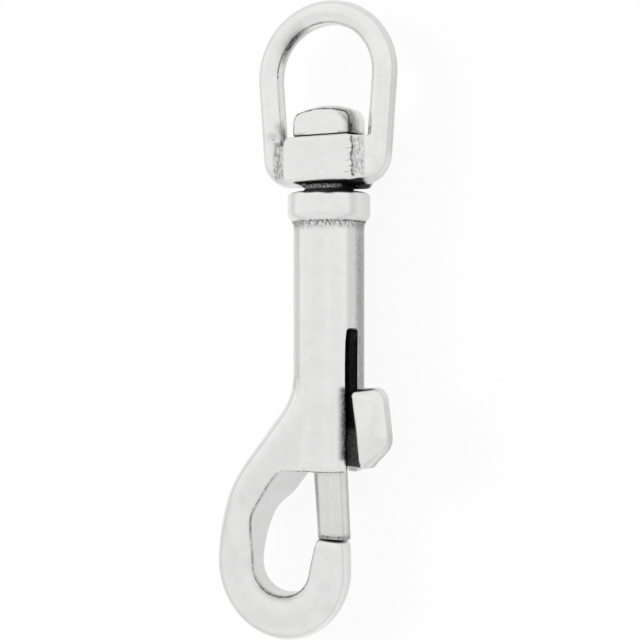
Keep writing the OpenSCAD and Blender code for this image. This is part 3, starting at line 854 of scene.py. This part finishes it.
    left_strip = inside(x, -8.7, -7.2, 0.25) * inside(y, 45.3, 51.0, 0.3) * (z > 0.5)
    right_strip = inside(x, 5.8, 7.1, 0.3) * inside(y, 45.2, 50.9, 0.4) * (z > 1.5)
    paint(eye, "ascast", np.maximum(0.6 * left_strip, 0.5 * right_strip))
    finish_piece(eye)


def mark_bolt():
    co = points_of(bolt)
    x, y, z = co.T
    round_r = np.hypot(x, z)
    outward, across = (co @ np.array(SLOT_SPIN.to_3x3() @ Vector(v)) for v in ((1, 0, 0), (0, 0, 1)))

    # Painted shade on the shank inside the barrel and on the web inside the slot.
    shank = (1 - step(5.3, 5.7, round_r)) * step(0.75, 1.05, y)
    web = np.interp(outward, (5.3, 6.0, 8.2, 8.5), (0.99, 0.975, 0.95, 0))
    web = web * (np.abs(across) < 1.12) * (y < 7.1)
    paint(bolt, "recess_shade", np.maximum(shank, web * (round_r > 5) * step(0.95, 1.2, y)))

    nose_turn = np.degrees(np.arctan2(x - NOSE_X - 0.3, z))
    nose = step(-10.3, -9.9, y) * (1 - step(0.0, 0.3, y)) * (round_r < 4)
    nose_sides = np.interp(nose_turn, (-75, -60, -40, -30, 75, 90, 110), (0.4, 0.4, 0.2, 0, 0, 0.22, 0.4))
    plate_rim = [SLOT_SPIN @ Vector((u, v, -0.7)) for u, v in
                 ((12.3, 11), (13.0, 8), (13.1, 6), (12.7, 4.2), (11.9, 3.1), (10.2, 1.9), (8.6, 1.1))]
    # A smudge on the nose's end, with painted shade on the nose's sides and below the barrel's mouth, and
    # painted shade along the thumb plate's rounded rim.
    paint(bolt, "grime_and_painted_shade", strongest(
        0.1 * nose + nose * nose_sides,
        0.5 * (1 - step(-10.2, -9.6, y)),
        0.25 * step(-1.3, 0.0, y) * (round_r < 3.4),
        along(co, plate_rim, 0.5, (0.1, 0.14, 0.26, 0.36, 0.38, 0.34, 0.28))))

    # Painted dark lines of shade in the gap between the nose and the hook's tip, and along the plate's edge
    # beside the slot.
    nose_line = [(-2.2, -10.1, 1.6), (-0.6, -9.9, 2.4), (1.2, -10.0, 2.5), (2.6, -10.1, 1.8)]
    plate_line = [SLOT_SPIN @ Vector((FIN_INNER + FIN_SLOPE * t + 0.15, FIN_HIGH + (FIN_LOW - FIN_HIGH) * t,
                                      FIN_T / 2 - 0.15)) for t in (0.1, 0.4, 0.7, 0.92)]
    paint(bolt, "seams_and_painted_dark_lines", np.maximum(along(co, nose_line, 0.4, (0.85, 0.95, 0.9, 0.88)),
                                    along(co, plate_line, 0.3, (0.7, 0.78, 0.86, 0.9))))
    paint(bolt, "ascast", 0.35 * (1 - step(-10.1, -9.3, y)))
    finish_piece(bolt)


mark_body()
mark_eye()
mark_bolt()


# Finishes
class Graph:
    """Nodes of one finish, each added and linked by one short call."""

    def __init__(self, owner):
        owner.use_nodes = True
        self.nodes, self.links = owner.node_tree.nodes, owner.node_tree.links

    def put(self, socket, value):
        if isinstance(value, bpy.types.NodeSocket):
            self.links.new(value, socket)
        else:
            socket.default_value = value

    def add(self, kind, *values, **settings):
        node = self.nodes.new("ShaderNode" + kind)
        for name, value in settings.items():
            setattr(node, name, value)
        for socket, value in zip(node.inputs, values):
            self.put(socket, value)
        return node

    def noise(self, vector, scale, detail):
        n = self.add("TexNoise", vector)
        self.put(n.inputs["Scale"], scale)
        self.put(n.inputs["Detail"], detail)
        return n.outputs["Fac"]

    def attribute(self, label):
        return self.add("Attribute", attribute_name=label).outputs["Fac"]

    def math(self, operation, *values):
        return self.add("Math", *values, operation=operation).outputs[0]

    def between(self, value, low, high, to_low, to_high, curve="LINEAR"):
        n = self.add("MapRange", value, low, high, to_low, to_high, interpolation_type=curve)
        return n.outputs["Result"]

    def toward(self, factor, colour, grey):
        n = self.add("Mix", data_type="RGBA")
        self.put(n.inputs["Factor"], factor)
        self.put(n.inputs["A"], colour)
        self.put(n.inputs["B"], (grey, grey, grey, 1))
        return n.outputs["Result"]

    def ramp(self, value, *stops):
        n = self.add("ValToRGB", value)
        for element, (place, colour) in zip(n.color_ramp.elements, stops):
            element.position = place
            element.color = (*colour, 1)
        return n.outputs["Color"]


def steel(name, bright, rough):
    """Polished cast steel with mottling, soft waves, as-cast patches, grime with painted shade and
    reflections, dark seams with painted dark lines of shade, and painted shade in recesses.
    """
    m = bpy.data.materials.new(name)
    g = Graph(m)
    shader = g.nodes["Principled BSDF"]
    shader.inputs["Metallic"].default_value = 1.0
    place = g.add("TexCoord").outputs["Object"]
    drawn_out = g.add("VectorMath", place, (1.0, 0.35, 1.0), operation="MULTIPLY").outputs[0]
    fine = g.noise(drawn_out, 4300, 2)
    ascast, recess_shade = g.attribute("ascast"), g.attribute("recess_shade")
    dimmer = [c * 0.965 for c in bright]
    mottled = g.ramp(g.noise(place, 650, 3), (0.35, dimmer), (0.65, bright))
    cloud = g.between(g.noise(place, 170, 2), 0.35, 0.65, 0.0, 0.045)
    pits = g.math("MULTIPLY", ascast, g.between(fine, 0.42, 0.56, 1.0, 0.15))
    patchy = g.between(g.noise(place, 2100, 3), 0.3, 0.7, 0.7, 1.1)
    ragged = g.math("MULTIPLY_ADD", g.noise(place, 2300, 2), 0.5, g.attribute("seams_and_painted_dark_lines"))
    patchy_shade = g.between(g.noise(place, 1500, 3), 0.3, 0.7, 0.93, 1.0)
    colour = g.toward(cloud, mottled, 0.1)
    colour = g.toward(pits, colour, 0.1)
    # Grime with painted shade and reflections, the seams with painted dark lines of shade, and painted shade
    # in recesses darken the colour in turn.
    colour = g.toward(g.math("MULTIPLY", g.attribute("grime_and_painted_shade"), patchy), colour, 0.02)
    colour = g.toward(g.between(ragged, 0.97, 1.18, 0.0, 0.8), colour, 0.03)
    colour = g.toward(g.math("MULTIPLY", recess_shade, patchy_shade), colour, 0.006)
    g.put(shader.inputs["Base Color"], colour)
    wear = g.between(g.noise(place, 900, 4), 0.3, 0.7, rough * 0.85, rough * 1.15)
    dull = g.math("MULTIPLY_ADD", ascast, 0.25, g.math("MULTIPLY_ADD", recess_shade, 0.4, wear))
    g.put(shader.inputs["Roughness"], dull)
    waves = g.math("MULTIPLY_ADD", g.noise(place, 430, 2), 0.5, g.math("MULTIPLY", ascast, fine))
    bump = g.add("Bump")
    g.put(bump.inputs["Strength"], 1.0)
    g.put(bump.inputs["Distance"], 0.00001)
    g.put(bump.inputs["Height"], waves)
    g.put(shader.inputs["Normal"], bump.outputs["Normal"])
    return m


def spring_steel():
    """Dark drawn wire with a fine grain."""
    m = bpy.data.materials.new("drawn_spring_wire")
    g = Graph(m)
    shader = g.nodes["Principled BSDF"]
    shader.inputs["Metallic"].default_value = 1.0
    grain = g.noise(g.add("TexCoord").outputs["Object"], 1800, 2)
    g.put(shader.inputs["Base Color"], g.ramp(grain, (0.0, (0.02, 0.02, 0.02)), (1.0, (0.05, 0.05, 0.052))))
    g.put(shader.inputs["Roughness"], g.between(grain, 0.0, 1.0, 0.35, 0.6))
    return m


cast_steel = steel("polished_cast_steel", (0.875, 0.875, 0.87), 0.22)
bolt_steel = steel("polished_bolt_steel", (0.865, 0.865, 0.86), 0.22)
wire_steel = spring_steel()

for piece, home, node, slot, finish in (
    (body, "snap_body", "body", "cast_steel", cast_steel),
    (eye, "eye", "swivel_eye", "cast_steel", cast_steel),
    (bolt, "slider", "bolt", "bolt_steel", bolt_steel),
    (spring, "slider", "spring", "spring_wire", wire_steel),
):
    piece.data.materials.clear()
    piece.data.materials.append(finish)
    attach(piece, home)
    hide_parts(node)
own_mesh(spring)


# White table, studio light and camera
def white_table():
    """Matt white that takes the piece's shadow, and glows for the camera and in the steel."""
    m = bpy.data.materials.new("white_table")
    g = Graph(m)
    paper = g.nodes["Principled BSDF"]
    paper.inputs["Base Color"].default_value = (0.66, 0.66, 0.66, 1)
    paper.inputs["Roughness"].default_value = 0.9
    paper.inputs["Specular IOR Level"].default_value = 0.0
    path = g.add("LightPath")
    mirrored = path.outputs["Is Glossy Ray"]
    seen = g.math("MULTIPLY_ADD", path.outputs["Is Camera Ray"], 0.92, g.math("MULTIPLY", mirrored, 0.7))
    spot = g.add("VectorMath", g.add("TexCoord").outputs["Object"], (1.0, 0.35, 0.0), operation="MULTIPLY")
    reach = g.add("VectorMath", spot.outputs[0], operation="LENGTH").outputs["Value"]
    fade = g.between(reach, 0.02, 0.06, 0.07, 0.32, "SMOOTHSTEP")
    glow = g.add("Emission")
    g.put(glow.inputs["Strength"], g.math("SUBTRACT", 1.0, g.math("MULTIPLY", fade, mirrored)))
    blend = g.add("MixShader", seen, paper.outputs[0], glow.outputs[0])
    g.put(g.nodes["Material Output"].inputs["Surface"], blend.outputs[0])
    return m


def lay_floor():
    mesh = bpy.data.meshes.new("floor")
    bm = bmesh.new()
    bmesh.ops.create_grid(bm, x_segments=1, y_segments=1, size=4.0)
    bm.to_mesh(mesh)
    bm.free()
    mesh.materials.append(white_table())
    floor = bpy.data.objects.new("floor", mesh)
    bpy.context.scene.collection.objects.link(floor)


def light_studio():
    """White dome, dimmer at the horizon and towards the hook, with faint panels, and one soft window."""
    world = bpy.data.worlds.new("studio")
    bpy.context.scene.world = world
    g = Graph(world)
    direction = g.add("TexCoord").outputs["Generated"]
    parts = g.add("SeparateXYZ", direction)
    sky = g.add("ValToRGB", parts.outputs["Z"])
    sky.color_ramp.interpolation = "EASE"
    for place in (0.14, 0.55):
        sky.color_ramp.elements.new(place)
    heights = ((0.0, 0.74), (0.14, 1.0), (0.55, 1.0), (0.9, 0.985))
    for element, (place, grey) in zip(sky.color_ramp.elements, heights):
        element.position = place
        element.color = (grey, grey, grey, 1)
    tilt = g.between(parts.outputs["Y"], -0.22, 0.17, 0.9, 1.0)
    panels = g.between(g.noise(direction, 2.6, 1.0), 0.35, 0.6, 0.93, 1.0)
    shaded = g.add("Mix", data_type="RGBA", blend_type="MULTIPLY")
    g.put(shaded.inputs["Factor"], 1.0)
    g.put(shaded.inputs["A"], sky.outputs["Color"])
    g.put(shaded.inputs["B"], g.math("MULTIPLY", tilt, panels))
    g.put(g.nodes["Background"].inputs["Color"], shaded.outputs["Result"])
    lamp = bpy.data.lights.new("window", "SUN")
    lamp.energy = 2.9
    lamp.angle = math.radians(35)
    window = bpy.data.objects.new("window", lamp)
    height = math.radians(38)
    towards = Vector((-math.cos(height), 0.25, math.sin(height)))
    window.rotation_euler = towards.to_track_quat("Z", "Y").to_euler()
    window.visible_glossy = False
    bpy.context.scene.collection.objects.link(window)


def set_camera():
    """Looks down on the front face from 25 degrees to its right, as the photograph does."""
    width, distance, aside = 640, 1250, 8.95
    pixel = 0.0001552
    tilt = math.radians(25)
    lens = bpy.data.cameras.new("camera")
    lens.sensor_width = 36.0
    lens.lens = lens.sensor_width * distance / width
    lens.clip_start = 0.01
    camera = bpy.data.objects.new("camera", lens)
    bpy.context.scene.collection.objects.link(camera)
    back = Vector((math.sin(tilt), 0, math.cos(tilt)))
    right = Vector((math.cos(tilt), 0, -math.sin(tilt)))
    camera.location = PLACE @ Vector((0, 23.2, 0)) - right * aside * pixel + back * distance * pixel
    camera.rotation_euler = (0, tilt, 0)
    bpy.context.scene.camera = camera


lay_floor()
light_studio()
set_camera()
bpy.context.scene.view_settings.view_transform = "Standard"
